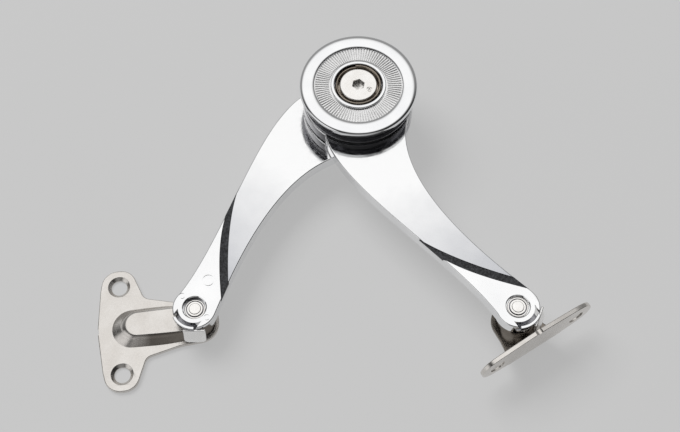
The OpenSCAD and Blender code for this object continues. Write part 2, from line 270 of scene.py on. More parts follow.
def washer(node, pivot, radii, edges, steps):
    """Flat ring as thick as its CAD node, with softened inner and outer edges."""
    thick = size_of(node)[1]
    (inner, outer), (inside, outside) = radii, edges
    corners = [(inner, 0, inside), (outer, 0, outside), (outer, thick, outside), (inner, thick, inside)]
    return soft_edges("washer", corners, place(pivot, low_z(node)), steps)


def combine(target, others, operation):
    """Applies booleans and removes the tools."""
    for tool in others:
        step = target.modifiers.new("cut", "BOOLEAN")
        step.operation = operation
        step.solver = "EXACT"
        step.object = tool
    bpy.context.view_layer.update()
    graph = bpy.context.evaluated_depsgraph_get()
    mesh = bpy.data.meshes.new_from_object(target.evaluated_get(graph))
    target.modifiers.clear()
    old = target.data
    target.data = mesh
    bpy.data.meshes.remove(old)
    for tool in others:
        bpy.data.objects.remove(tool)
    return target


def carve(target, *cutters):
    return combine(target, cutters, "DIFFERENCE")


def bevel(piece, width, segments=2, angle=38):
    """Rounds the sharp edges of a piece that is still in millimetres."""
    step = piece.modifiers.new("edges", "BEVEL")
    step.width = width
    step.segments = segments
    step.limit_method = "ANGLE"
    step.angle_limit = math.radians(angle)
    step.use_clamp_overlap = True
    step.miter_outer = "MITER_ARC"
    return combine(piece, (), "DIFFERENCE")


def recoat(piece, material, chosen):
    """Gives a second material to the faces that a test picks by centre (in millimetres) and normal."""
    piece.data.materials.append(material)
    for face in piece.data.polygons:
        if chosen(face.center / MM, face.normal):
            face.material_index = 1
    return piece


def finish(piece, name, material, body, slot, *nodes):
    """Shades, names, and hangs a piece on its body in place of its CAD nodes."""
    piece.name = name
    mesh = piece.data
    mesh.name = name
    mesh.materials.clear()
    mesh.materials.append(material)
    for face in mesh.polygons:
        face.use_smooth = True
        face.material_index = 0
    mesh.set_sharp_from_angle(angle=SMOOTH_ANGLE)
    even = piece.modifiers.new("even", "WEIGHTED_NORMAL")
    even.mode = "FACE_AREA"
    even.weight = 100
    even.keep_sharp = True
    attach(piece, body)
    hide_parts(*nodes)
    return piece


# ---------------- materials


class Nodes:
    """Short calls for a material's node tree."""

    def __init__(self, name):
        self.material = bpy.data.materials.new(name)
        self.material.use_nodes = True
        self.tree = self.material.node_tree
        self.shader = self.tree.nodes["Principled BSDF"]
        self.place = self.add("ShaderNodeTexCoord").outputs["Object"]

    def add(self, kind, **values):
        node = self.tree.nodes.new(kind)
        for key, value in values.items():
            setattr(node, key, value)
        return node

    def link(self, a, b):
        self.tree.links.new(a, b)

    def stretched(self, scale, turn=0.0):
        """Object position, scaled along each axis for a drawn-out grain."""
        node = self.add("ShaderNodeMapping")
        node.inputs["Scale"].default_value = scale
        node.inputs["Rotation"].default_value = (0, 0, math.radians(turn))
        self.link(self.place, node.inputs["Vector"])
        return node.outputs["Vector"]

    def noise(self, scale, detail=3.0, rough=0.55, vector=None):
        node = self.add("ShaderNodeTexNoise")
        node.inputs["Scale"].default_value = scale
        node.inputs["Detail"].default_value = detail
        node.inputs["Roughness"].default_value = rough
        self.link(vector or self.place, node.inputs["Vector"])
        return node.outputs["Fac"]

    def remap(self, value, low, high, start=0.3, end=0.7):
        node = self.add("ShaderNodeMapRange")
        node.inputs["From Min"].default_value = start
        node.inputs["From Max"].default_value = end
        node.inputs["To Min"].default_value = low
        node.inputs["To Max"].default_value = high
        self.link(value, node.inputs["Value"])
        return node.outputs["Result"]

    def tint(self, value, dark, light, start=0.3, end=0.7):
        node = self.add("ShaderNodeValToRGB")
        node.color_ramp.elements[0].position = start
        node.color_ramp.elements[1].position = end
        node.color_ramp.elements[0].color = (*dark, 1)
        node.color_ramp.elements[1].color = (*light, 1)
        self.link(value, node.inputs["Fac"])
        return node.outputs["Color"]

    def fade(self, distance, start, end, first, last, wander):
        """Tint that turns from one colour to another along a distance in metres, with a wavering edge."""
        reach, scale = wander
        shifted = self.add("ShaderNodeMath", operation="ADD")
        self.link(distance, shifted.inputs[0])
        self.link(self.remap(self.noise(scale, 3), -reach, reach), shifted.inputs[1])
        return self.tint(self.remap(shifted.outputs[0], 0, 1, start, end), first, last, 0.0, 1.0)

    def ripple(self):
        """Slow roll of a polished surface."""
        return self.noise(38, 1, 0.4)

    def hairlines(self):
        """Fine scratches in one direction."""
        hair = self.noise(500, 2, 0.6, self.stretched((0.06, 2.2, 1.0), 31))
        return self.remap(hair, 0, 1, 0.62, 0.7)

    def bumps(self, *layers):
        """(height, strength, distance in metres) layers, one over the other."""
        last = None
        for height, strength, distance in layers:
            node = self.add("ShaderNodeBump")
            node.inputs["Strength"].default_value = strength
            node.inputs["Distance"].default_value = distance
            self.link(height, node.inputs["Height"])
            if last is not None:
                self.link(last, node.inputs["Normal"])
            last = node.outputs["Normal"]
        self.link(last, self.shader.inputs["Normal"])

    def set(self, **values):
        for key, value in values.items():
            self.shader.inputs[key.replace("_", " ")].default_value = value


RIPPLE_DEPTH = 0.0006
GRAIN_DEPTH = 0.00006
SCRATCH_DEPTH = 0.00002


def metal(name, dark, light, rough, mottle=900, ripple=0.0, grain=0.0, scratches=0.0):
    """Plated metal: cloudy tint, uneven polish, a cast ripple, fine grain and hairline scratches."""
    n = Nodes(name)
    n.set(Metallic=1.0)
    cloud = n.noise(mottle * 0.12, 4)
    n.link(n.tint(cloud, dark, light), n.shader.inputs["Base Color"])
    n.link(n.remap(n.noise(mottle, 5), *rough), n.shader.inputs["Roughness"])
    layers = []
    if ripple:
        layers.append((n.ripple(), ripple, RIPPLE_DEPTH))
    if grain:
        layers.append((n.noise(mottle * 7, 3, 0.7), grain, GRAIN_DEPTH))
    if scratches:
        layers.append((n.hairlines(), scratches, SCRATCH_DEPTH))
    if layers:
        n.bumps(*layers)
    return n.material


def chrome_material():
    return metal("chrome_plate", (0.86, 0.87, 0.885), (0.93, 0.935, 0.94), (0.03, 0.09),
                 ripple=0.05, scratches=0.06)


def arm_material():
    """Chrome over a die casting: the polish is a little softer and the surface rolls slightly."""
    return metal("arm_chrome", (0.87, 0.875, 0.885), (0.94, 0.945, 0.95), (0.06, 0.15),
                 mottle=600, ripple=0.06, scratches=0.08)


def nickel_material():
    return metal("satin_nickel", (0.68, 0.65, 0.615), (0.77, 0.745, 0.715), (0.19, 0.29),
                 mottle=1300, ripple=0.12, grain=0.03, scratches=0.1)


def painted_shade_material():
    """Painted shade: chrome darkened to stand in for the shade and dark reflections on the hub's grooved
    wall and its bore, and in other gaps and recesses.
    """
    return metal("painted_shade_chrome", (0.20, 0.20, 0.215), (0.36, 0.36, 0.38), (0.08, 0.2),
                 mottle=1200, grain=0.06, scratches=0.1)


def painted_shade_nickel_material():
    """Painted shade: nickel darkened to brown on the drawn walls of the bosses, standing in for the shade
    there.
    """
    return metal("painted_shade_nickel", (0.17, 0.15, 0.13), (0.27, 0.245, 0.215), (0.2, 0.32),
                 mottle=900, ripple=0.12, grain=0.04, scratches=0.15)


def shaded_boss_material():
    """Painted shade: the same darkened nickel, fading to the plain tint round the rounded end of the flat
    bracket's boss.
    """
    n = Nodes("shaded_boss_nickel")
    n.set(Metallic=1.0)
    axes = n.add("ShaderNodeSeparateXYZ")
    n.link(n.place, axes.inputs[0])
    plain, boss_shade = (0.73, 0.70, 0.67), (0.20, 0.18, 0.16)
    colour = n.fade(axes.outputs["X"], 0.0045, 0.0105, plain, boss_shade, (0.0006, 260))
    n.link(colour, n.shader.inputs["Base Color"])
    n.link(n.remap(n.noise(900, 5), 0.2, 0.32), n.shader.inputs["Roughness"])
    n.bumps((n.ripple(), 0.12, RIPPLE_DEPTH), (n.noise(6300, 3, 0.7), 0.04, GRAIN_DEPTH))
    return n.material


def blade_shade_material(name, hub, towards):
    """Arm chrome with painted shade: it greys gently along the blade towards the inlay, standing in for the
    dimmer reflection where the real top dips.
    """
    n = Nodes(name)
    n.set(Metallic=1.0)
    along = n.add("ShaderNodeVectorMath", operation="DOT_PRODUCT")
    along.inputs[1].default_value = (towards.x, towards.y, 0)
    n.link(n.place, along.inputs[0])
    start = hub.x * towards.x + hub.y * towards.y
    bright, grey = (0.92, 0.925, 0.93), (0.53, 0.54, 0.57)
    colour = n.fade(along.outputs["Value"], start + 0.038, start + 0.085, bright, grey, (0.004, 90))
    n.link(colour, n.shader.inputs["Base Color"])
    n.link(n.remap(n.noise(600, 5), 0.06, 0.15), n.shader.inputs["Roughness"])
    n.bumps((n.ripple(), 0.06, RIPPLE_DEPTH), (n.hairlines(), 0.08, SCRATCH_DEPTH))
    return n.material


def screw_material():
    return metal("turned_nickel", (0.87, 0.85, 0.82), (0.95, 0.94, 0.92), (0.14, 0.26),
                 mottle=1500, grain=0.04, scratches=0.1)


def satin_material():
    return metal("satin_steel", (0.86, 0.855, 0.845), (0.95, 0.945, 0.94), (0.2, 0.34),
                 mottle=1100, grain=0.05, scratches=0.12)


def ring_material():
    return metal("etched_ring", (0.86, 0.86, 0.86), (0.94, 0.94, 0.94), (0.22, 0.34),
                 mottle=1600, grain=0.05)


def spring_material():
    return metal("spring_steel", (0.26, 0.22, 0.18), (0.44, 0.39, 0.33), (0.16, 0.3),
                 mottle=1500, grain=0.05)


def inlay_material():
    """Dark plastic with a coarse cast grain and pale flecks."""
    n = Nodes("grained_inlay")
    flecks = n.noise(1500, 5, 0.75)
    n.link(n.tint(flecks, (0.006, 0.006, 0.007), (0.085, 0.088, 0.095), 0.42, 0.74),
           n.shader.inputs["Base Color"])
    n.link(n.remap(flecks, 0.35, 0.62), n.shader.inputs["Roughness"])
    n.set(Specular_IOR_Level=0.35)
    n.bumps((n.noise(1500, 5, 0.75), 0.7, 0.00012), (n.noise(5200, 2), 0.3, 0.00004))
    return n.material


def nylon_material():
    n = Nodes("dark_nylon")
    n.link(n.tint(n.noise(700, 4), (0.016, 0.016, 0.018), (0.034, 0.034, 0.037)),
           n.shader.inputs["Base Color"])
    n.link(n.remap(n.noise(2400, 4), 0.36, 0.55), n.shader.inputs["Roughness"])
    n.bumps((n.noise(3800, 3), 0.25, 0.00004))
    return n.material


CHROME = chrome_material()
ARM_CHROME = arm_material()
NICKEL = nickel_material()
TURNED = screw_material()
SATIN = satin_material()
RING = ring_material()
SPRING = spring_material()
# painted shade: dark chrome for shaded walls, gaps and recesses
PAINTED_SHADE = painted_shade_material()
# painted shade: darkened nickel for the shaded tongue and boss walls
PAINTED_SHADE_NICKEL = painted_shade_nickel_material()
SHADED_BOSS = shaded_boss_material()
INLAY = inlay_material()
NYLON = nylon_material()

# ---------------- arms

ARM_THICKNESS = 5.0
DISC_RADIUS = 19.8
END_RADIUS = 7.4
CONVEX = [(7, -18.5), (25.7, -26), (68.8, -7.8), (ARM_LENGTH - 1.5, -END_RADIUS + 0.15)]
HOLLOW = [(17, 10.1), (37.2, -11.2), (86.2, 5.1), (ARM_LENGTH - 1.5, END_RADIUS - 0.15)]
INLAY_NEAR = [(45, -17), (57, -15.5), (73, -6), (90, 9)]
INLAY_FAR = [(59, -14.2), (72, -11), (83, -1.5), (95, 9.5)]
INLAY_SHIFT = {"lower": -1.5, "upper": 1.5}
NEAR_STEPS = 30
INLAY_GROOVE = 1.2
END_WALL = 5.55
STRIP_SIDES = (-3.85, 4.65)
STUD_BORE = 2.5
BUSH_BORE = 3.5
BUSH_FLOOR = 2.0
MOUTH_RADIUS = 3.85
SLIDER_POCKET = (-7.2, 9.8, -4.6, 4.6)
SLIDER_DEPTH = 1.7
SPRING_POCKET = (-11.2, -5, -1.4, 1.4)
SPRING_DEPTH = 2.4
CASTING_WALL = 3.2


def arm_outline():
    start = math.degrees(math.atan2(HOLLOW[0][1], HOLLOW[0][0]))
    end = 360 + math.degrees(math.atan2(CONVEX[0][1], CONVEX[0][0]))
    points = curve(CONVEX, 40)
    points += arc(ARM_LENGTH, 0, END_RADIUS, -101.5, 101.5, 44)[1:-1]
    points += curve(HOLLOW, 40)[::-1]
    points += arc(0, 0, DISC_RADIUS, start, end, 84)[1:-1]
    return points


def inlay_band(side):
    """Outline of the slanting groove that crosses one arm."""
    points = curve(INLAY_NEAR, NEAR_STEPS) + curve(INLAY_FAR, NEAR_STEPS)[::-1]
    return [(x + INLAY_SHIFT[side], y) for x, y in points]


def edge_rings(shell, points, z0, z1, top_round, low_round, steps):
    """Side wall of a plate, with rounded lower and upper edges."""
    rings = []
    for i in range(steps + 1):
        a = math.pi / 2 * i / steps
        rings.append(shell.ring(inset(points, low_round * (1 - math.sin(a))),
                                z0 + low_round * (1 - math.cos(a))))
    for i in range(steps + 1):
        a = math.pi / 2 * i / steps
        rings.append(shell.ring(inset(points, top_round * (1 - math.cos(a))),
                                z1 - top_round * (1 - math.sin(a))))
    shell.strips(rings)
    return rings


def rounded_plate(points, z0, z1, top_round, low_round, steps=4):
    """Plate with rounded upper and lower edges, closed above and below."""
    shell = Shell()
    rings = edge_rings(shell, points, z0, z1, top_round, low_round, steps)
    shell.fill(rings[0])
    shell.fill(rings[-1])
    return shell.build("plate")


def ring_cutter(cx, cy, r, width, z0, z1):
    """Cutter for a fine circular groove."""
    profile = [(r - width, z0), (r + width, z0), (r + width, z1), (r - width, z1)]
    return lathe("cutter", profile, Matrix.Translation((cx, cy, 0)), 48)


def disc_cutter(cx, cy, r, z0, z1, flare=0.0, steps=64):
    return prism(circle(cx, cy, r, steps), z0, z1, flare, flare)


def outside_end_wall(corners):
    """Region beyond the end wall's arc, out to the given far corners."""
    return corners + arc(ARM_LENGTH, 0, END_WALL, 50, -48, 30)


def pocket(sides, depth):
    """Cutter for a pocket in the arm's underside, by its sides from the pivot."""
    x0, x1, y0, y1 = sides
    return block(ARM_LENGTH + x0, ARM_LENGTH + x1, y0, y1, -1, depth)


def end_notch():
    """Cutter that clears the finger pad, turned round the pivot and outside the end wall."""
    turn = Matrix.Rotation(math.radians(20), 2)
    corners = [Vector((3, -10)), Vector((11, -10)), Vector((11, 10)), Vector((3, 10))]
    notch = prism([tuple(turn @ c + Vector((ARM_LENGTH, 0))) for c in corners], -0.6, 3.6)
    return carve(notch, disc_cutter(ARM_LENGTH, 0, END_WALL, -2, 8))


def casting_hollow():
    """Cutter for the shallow hollow under the blade."""
    low_side = [(px, py + CASTING_WALL) for px, py in curve(CONVEX, 14, 0.3, 0.76)]
    high_side = [(px, py - CASTING_WALL) for px, py in curve(HOLLOW, 14, 0.3, 0.82)]
    return prism(low_side + high_side[::-1], -0.7, 1.2)


def make_arm(side, matrix, hub_hole, marks):
    """Polished casting with its hub bore, inlay groove, end recess, slot, pockets and ejector circles."""
    name = side + "_arm"
    arm = rounded_plate(arm_outline(), 0, ARM_THICKNESS, 0.45, 0.35)
    band = inlay_band(side)
    x = ARM_LENGTH
    top = ARM_THICKNESS
    slot = outside_end_wall([(x + 3.55, -4.25), (x + 11, -4.25), (x + 11, 4.95), (x + 2.5, 4.95)])
    cutters = [
        disc_cutter(0, 0, hub_hole, -1, top + 1, 0, 96),
        prism(band, top - INLAY_GROOVE, top + 0.3, 0.45, 0.45),
        disc_cutter(x, 0, STUD_BORE, -1, top - 1),
        disc_cutter(x, 0, BUSH_BORE, BUSH_FLOOR, top + 1),
        disc_cutter(x, 0, MOUTH_RADIUS, 2.6, top + 0.25, 0.55),
        pocket(SLIDER_POCKET, SLIDER_DEPTH),
        pocket(SPRING_POCKET, SPRING_DEPTH),
        prism(slot, -0.5, top + 1),
        end_notch(),
        casting_hollow(),
    ]
    for mx, my, r in marks:
        cutters.append(ring_cutter(x + mx, my, r, 0.11, top - 0.2, top + 0.4))
    carve(arm, *cutters)
    # painted shade: the hub disc's side walls and the lower arm's pin recess wall take the dark
    # painted-shade chrome
    on_blade, on_disc = [], []
    for face in arm.data.polygons:
        here = face.center
        on_blade.append(face.normal.z > 0.9 and here.z > top - 0.3 and before_inlay(here, band))
        from_pivot = (here.xy - Vector((x, 0))).length
        in_recess = name == "lower_arm" and 3.4 < from_pivot < 4.1 and here.z > 2.4
        disc_wall = DISC_RADIUS - 1 < here.xy.length < DISC_RADIUS + 0.1
        on_disc.append(abs(face.normal.z) < 0.5 and (disc_wall or in_recess))
    arm.data.transform(matrix)
    finish(arm, name + "_casting", ARM_CHROME, name, "chrome", name)
    pivot = matrix @ TO_PIVOT @ Vector((0, 0, 0))
    # painted shade: the blade's top greys towards the inlay
    arm.data.materials.append(blade_shade_material(name + "_blade", HUB, (pivot - HUB).xy.normalized()))
    arm.data.materials.append(PAINTED_SHADE)
    for face, blade, disc in zip(arm.data.polygons, on_blade, on_disc):
        face.material_index = 1 if blade else 2 if disc else 0
    return arm


def before_inlay(point, band):
    """Whether a point of the arm's top lies on the hub's side of its inlay groove."""
    near = band[:NEAR_STEPS + 1]
    if point.y <= near[0][1]:
        return point.x < near[0][0]
    for (x0, y0), (x1, y1) in zip(near, near[1:]):
        if y0 <= point.y <= y1:
            return point.x < x0 + (x1 - x0) * (point.y - y0) / (y1 - y0) + 0.05
    return point.x < near[-1][0]


def make_inlay(side, matrix):
    """Grained strip whose ends follow the arm's sides."""
    name = side + "_inlay"
    strip = prism(inset(inlay_band(side), 0.02), ARM_THICKNESS - INLAY_GROOVE, ARM_THICKNESS - 0.3)
    limits = prism(inset(arm_outline(), 0.04), -1, ARM_THICKNESS + 1)
    combine(strip, [limits], "INTERSECT")
    bevel(strip, 0.08, 2)
    strip.data.transform(matrix)
    return finish(strip, name + "_grained", INLAY, side + "_arm", "dark_inlay", name)


# ---------------- arm ends


def make_bush(name, matrix, body, top):
    """Turned bush with a groove between its rim and its collar, painted dark there as shade."""
    corners = [(2.0, BUSH_FLOOR, 0.05), (BUSH_BORE, BUSH_FLOOR, 0.1),
               (BUSH_BORE, top - 0.25, 0.2), (3.0, top - 0.25, 0.03),
               (2.92, top - 0.75, 0), (2.72, top - 0.75, 0), (2.66, top, 0.12), (2.0, top, 0.05)]
    piece = soft_edges(name, corners, matrix @ TO_PIVOT, 72)
    finish(piece, name + "_turned", TURNED, body, "nickel", name)
    axis = (matrix @ TO_PIVOT).translation / MM
    groove_top = axis.z + top - 0.35

    def in_groove(at, normal):
        return 2.6 < (at.xy - axis.xy).length < 3.05 and at.z < groove_top

    # painted shade: the groove's faces take the dark chrome
    return recoat(piece, PAINTED_SHADE, in_groove)


def make_keeper(name, matrix, body):
    """Plate that holds the slider in: a wide round part and a narrow tail under the spring."""
    half, tail = 5.4, 2.4
    step, end = -8, -12.4
    outline = arc(0, 0, half, -90, 90, 28)
    outline += [(step, half), (step, tail), (end, tail), (end, -tail), (step, -tail), (step, -half)]
    plate = rounded_plate(outline, -1, 0, 0.12, 0.2, 3)
    carve(plate, disc_cutter(0, 0, 3.2, -2, 1))
    plate.data.transform(matrix @ TO_PIVOT)
    return finish(plate, name + "_pressed", SATIN, body, "satin_steel", name)


def make_release_cap(name, matrix, body):
    """Bright strip that fills the arc slot at the arm's tip."""
    inner, outer = 6.8, 7.9
    low = math.degrees(math.asin(STRIP_SIDES[0] / outer))
    high = math.degrees(math.asin(STRIP_SIDES[1] / outer))
    outline = arc(0, 0, outer, low, high, 22) + arc(0, 0, inner, high, low, 22)
    strip = rounded_plate(outline, 3.4, 4.95, 0.22, 0.08, 3)
    strip.data.transform(matrix @ TO_PIVOT)
    finish(strip, name + "_polished", CHROME, body, "chrome", name)
    # painted shade: the strip's side walls are dark, for the shadow line between strip and pad
    return recoat(strip, PAINTED_SHADE, lambda at, normal: abs(normal.z) < 0.6)


PAD_TURN = 35


def pad_sheet(width, thickness):
    """Bent finger pad in its own plane: X outwards, Y across, Z up."""
    path = [(8.0, 3.4), (8.02, 2.6), (8.05, 1.6), (8.1, 0.8), (8.3, 0.1), (8.6, -0.8),
            (8.95, -1.8), (9.2, -2.7), (9.35, -3.4)]
    corner, across = 1.4, 16
    foot = path[-1][1]
    shell = Shell()
    layers = []
    for depth in (0.0, thickness):
        grid = []
        for x, z in path:
            drop = max(0.0, corner - (z - foot))
            half = width / 2 - corner + math.sqrt(max(0.0, corner**2 - drop**2))
            half = max(half, width / 2 - corner + 0.25)
            row = []
            for j in range(across + 1):
                u = -1 + 2 * j / across
                row.append((x - depth - 0.12 * u * u, u * half, z))
            grid.append(shell.ring(row))
        layers.append(grid)
    front, back = layers
    for grid in layers:
        for upper, lower in zip(grid, grid[1:]):
            for j in range(across):
                shell.bm.faces.new((upper[j], upper[j + 1], lower[j + 1], lower[j]))
    for a, b in ((front[0], back[0]), (front[-1], back[-1])):
        for j in range(across):
            shell.bm.faces.new((a[j], a[j + 1], b[j + 1], b[j]))
    for j in (0, across):
        for i in range(len(path) - 1):
            shell.bm.faces.new((front[i][j], front[i + 1][j], back[i + 1][j], back[i][j]))
    return shell.build("pad")


def make_slider(name, matrix, body):
    """Latch plate with its keyhole edge, a rib for the bright strip and the finger pad."""
    half, nose = 4.2, 7.2
    tip = math.degrees(math.asin(half / nose))
    outline = [(-5.6, half), (-5.6, -half)]
    outline += arc(0, 0, nose, -tip, -19, 6) + arc(0, 0, nose, 19, tip, 6)
    plate = rounded_plate(outline, 0.3, 1.5, 0.12, 0.12, 3)
    carve(plate, disc_cutter(0.95, 0, 2.35, -1, 3))
    rib = rounded_plate([(6.75, -2.4), (7.35, -2.4), (7.35, 2.7), (6.75, 2.7)], 0.9, 3.4, 0.05, 0.05, 2)
    pad = pad_sheet(7.5, 0.75)
    bevel(pad, 0.2, 3)
    pad.data.transform(Matrix.Rotation(math.radians(PAD_TURN), 4, "Z"))
    combine(plate, [rib, pad], "UNION")
    # painted shade: faces within 7 mm of the pivot and the pad's low inward faces take the dark chrome, so
    # the slot reads dark
    slider_shade = []
    for face in plate.data.polygons:
        slider_shade.append(face.center.xy.length < 7.0 or (face.center.z < 3.3 and face.normal.x < -0.5))
    plate.data.transform(matrix @ TO_PIVOT)
    finish(plate, name + "_formed", SATIN, body, "satin_steel", name)
    plate.data.materials.append(PAINTED_SHADE)
    for face, in_shade in zip(plate.data.polygons, slider_shade):
        face.material_index = 1 if in_shade else 0
    return plate


def coil(name, radius, wire, length, turns, matrix, steps, sides):
    """Round wire wound along X, with capped ends."""
    shell = Shell()
    count = int(turns * steps)
    rings = []
    for i in range(count + 1):
        a = 2 * math.pi * i / steps
        centre = Vector((length * i / count, radius * math.cos(a), radius * math.sin(a)))
        out = Vector((0, math.cos(a), math.sin(a)))
        points = []
        for j in range(sides):
            b = 2 * math.pi * j / sides
            points.append(centre + out * (wire * math.cos(b)) + Vector((wire * math.sin(b), 0, 0)))
        rings.append(shell.ring(points))
    shell.strips(rings)
    for ring, way in ((rings[0], -1), (rings[-1], 1)):
        middle = sum((v.co for v in ring), Vector()) / sides
        shell.pole(ring, middle)
    return shell.build(name, matrix)


def make_spring(name, matrix, body):
    seat = matrix @ TO_PIVOT @ Matrix.Translation((-10.95, 0, 1.15))
    piece = coil(name, 0.75, 0.2, 5.1, 7, seat, 24, 10)
    return finish(piece, name + "_wound", SPRING, body, "spring_steel", name)


# ---------------- hub


SHANK = 4.05
SLEEVE_RADIUS = 9.0
SPRING_FLOOR = 1.8
BORE = 8.5
BEZEL_RADIUS = 9.8
STILL = Matrix.Identity(4)


def make_hub_base():
    """Lower cover, with a hexagon seat for the nut and a ring groove underneath."""
    height = (low_z("lower_arm") - low_z("hub_base")) / MM
    corners = [(0, 0, 0), (DISC_RADIUS, 0, 1.3), (DISC_RADIUS, height, 0.35), (0, height, 0)]
    piece = soft_edges("hub_base", corners, STILL, 160)
    groove = lathe("cutter", [(10.5, -1), (16.5, -1), (15.9, 0.8), (11.1, 0.8)], STILL, 96)
    carve(piece, disc_cutter(0, 0, 7.6, -1, height + 1, 0, 6), groove)
    piece.data.transform(place(HUB, low_z("hub_base")))
    finish(piece, "hub_base_casting", CHROME, "lower_arm", "chrome", "hub_base")


def make_hub_nut():
    """Hexagon nut with its lower corners turned down."""
    nut = prism(circle(0, 0, 7.5, 6), 0.6, 4.6)
    corners = [(0, 0.55, 0), (7.1, 0.55, 0.2), (8.6, 1.5, 0.1), (8.6, 5, 0), (0, 5, 0)]
    combine(nut, [soft_edges("cutter", corners, STILL, 64)], "INTERSECT")
    carve(nut, disc_cutter(0, 0, SHANK, -1, 6))
    nut.data.transform(place(HUB, low_z("hub_base")))
    finish(nut, "hub_nut_turned", SATIN, "lower_arm", "satin_steel", "hub_nut")


def make_sleeve():
    """Axle of the upper arm."""
    height = 12.05
    corners = [(SHANK, 0, 0.1), (SLEEVE_RADIUS, 0, 0.1), (SLEEVE_RADIUS, height, 0.1), (SHANK, height, 0.1)]
    sleeve = soft_edges("sleeve", corners, place(HUB, low_z("hub_sleeve")), 72)
    finish(sleeve, "hub_sleeve_turned", SATIN, "lower_arm", "satin_steel", "hub_sleeve")


def make_friction_washer(node):
    piece = washer(node, HUB, (SLEEVE_RADIUS, size_of(node)[0]), (0.1, 0.12), 128)
    finish(piece, node + "_moulded", NYLON, "lower_arm", "dark_nylon", node)


def make_cap():
    """Turned cap: grooved wall, overhanging domed rim, a step down to the ribbed ring, the bore."""
    rim, h = size_of("hub_cap")
    wall, ring = DISC_RADIUS - 0.05, 15.6
    ring_floor, bezel_seat = h - 1.6, h - 4
    points = [(SHANK, 0), (wall - 0.2, 0), (wall - 0.05, 0.05), (wall, 0.2)]
    # three fine ledges, each stepping the wall in
    for z in (0.8, 1.7, 3.2):
        points += [(wall, z), (wall - 0.04, z + 0.03), (wall - 0.24, z + 0.04), (wall - 0.26, z + 0.1)]
        wall -= 0.26
    points += [(wall, h - 2.6), (wall, h - 2.35), (rim - 0.4, h - 2.25)]
    # domed rim, from its outer edge over to the step
    points += curve([(rim, h - 1.75), (rim, h - 0.42), (rim - 0.5, h - 0.13), (rim - 1.9, h - 0.03)], 18)
    inwards = [points[-1], (rim - 3.2, h + 0.02), (ring + 0.5, h + 0.01), (ring + 0.06, h - 0.3)]
    points += curve(inwards, 14)[1:]
    points += [(ring, h - 0.58), (ring, ring_floor), (BEZEL_RADIUS, ring_floor), (BEZEL_RADIUS, bezel_seat),
               (BORE, bezel_seat), (BORE, SPRING_FLOOR), (SHANK, SPRING_FLOOR)]
    cap = lathe("hub_cap", points, place(HUB, low_z("hub_cap")), 180)
    finish(cap, "hub_cap_turned", CHROME, "lower_arm", "chrome", "hub_cap")
    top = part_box("hub_cap")[1].z / MM

    # painted shade: the bore and the grooved wall below the rim take the dark chrome, for their shade and
    # dark reflections
    def dark(centre, normal):
        reach = (centre.xy - HUB.xy / MM).length
        return reach < BORE + 0.1 or (reach > ring + 2 and centre.z < top - 2.2)

    recoat(cap, PAINTED_SHADE, dark)


def make_ribbed_ring():
    """Ring with fine radial ribs between two plain borders."""
    inner, outer, ribs, rise = 9.85, 15.55, 96, 0.24
    border, band = 0.12, 0.42
    profile = [(inner, 0.0, 0), (outer, 0.0, 0), (outer, border, 0), (outer - 0.24, border, 0),
               (outer - 0.3, band, 1), (inner + 0.62, band, 1), (inner + 0.56, border, 0),
               (inner, border, 0)]
    shape = (0.0, 0.5, 0.95, 1.0, 1.0, 1.0, 0.95, 0.5)
    per_rib = len(shape)
    shell = Shell()
    rings = []
    for r, z, ribbed in profile:
        ring = []
        for i in range(ribs * per_rib):
            a = 2 * math.pi * i / (ribs * per_rib)
            lift = rise * shape[i % per_rib] if ribbed else 0.0
            ring.append((r * math.cos(a), r * math.sin(a), z + lift))
        rings.append(shell.ring(ring))
    shell.strips([*rings, rings[0]])
    ring = shell.build("ribbed_ring", place(HUB, low_z("ribbed_ring")))
    finish(ring, "ribbed_ring_pressed", RING, "lower_arm", "satin_steel", "ribbed_ring")


def make_bezel():
    """Smooth bead round the bore, with painted shade on its inner wall."""
    inner, outer, top = BORE + 0.03, BEZEL_RADIUS - 0.02, 3.55
    corners = [(inner, 0, 0), (outer, 0, 0), (outer, top, 0.28), (inner, top, 0.32)]
    bezel = soft_edges("bezel", corners, place(HUB, low_z("bore_bezel")), 144)
    finish(bezel, "bore_bezel_turned", CHROME, "lower_arm", "chrome", "bore_bezel")
    # painted shade: the bore-facing wall takes the dark chrome
    recoat(bezel, PAINTED_SHADE, lambda centre, normal: (centre.xy - HUB.xy / MM).length < BORE + 0.06)


def make_disc_springs():
    """Two dished springs, back to back."""
    inner, outer, thick, dish = 4.4, 8.2, 0.5, 0.4
    for k, flip in enumerate((1, -1)):
        seat = place(HUB, low_z("disc_springs"))
        if flip < 0:
            seat = seat @ Matrix.Translation((0, 0, 2 * (thick + dish) + 0.1))
            seat = seat @ Matrix.Diagonal((1, 1, -1, 1))
        disc = soft_edges("disc", [(inner, dish, 0.1), (outer, 0, 0.1), (outer, thick, 0.1),
                                   (inner, dish + thick, 0.1)], seat, 72)
        if flip < 0:
            disc.data.flip_normals()
        finish(disc, f"disc_spring_{k + 1}", SPRING, "lower_arm", "spring_steel", "disc_springs")


def make_pressure_washer():
    piece = washer("pressure_washer", HUB, (4.4, 8.3), (0.1, 0.15), 96)
    # painted shade: this nickel washer takes the dark spring-steel colour so the gap in the bore reads dark
    finish(piece, "pressure_washer_turned", SPRING, "lower_arm", "nickel", "pressure_washer")


def make_locking_coil():
    """Two turns of round wire, standing on end round the screw's head."""
    seat = place(HUB, low_z("locking_coil") + 0.43 * MM) @ Matrix.Rotation(math.radians(-90), 4, "Y")
    wire = coil("locking_coil", 7.65, 0.42, 1.7, 2, seat, 72, 14)
    finish(wire, "locking_coil_wound", SPRING, "lower_arm", "spring_steel", "locking_coil")


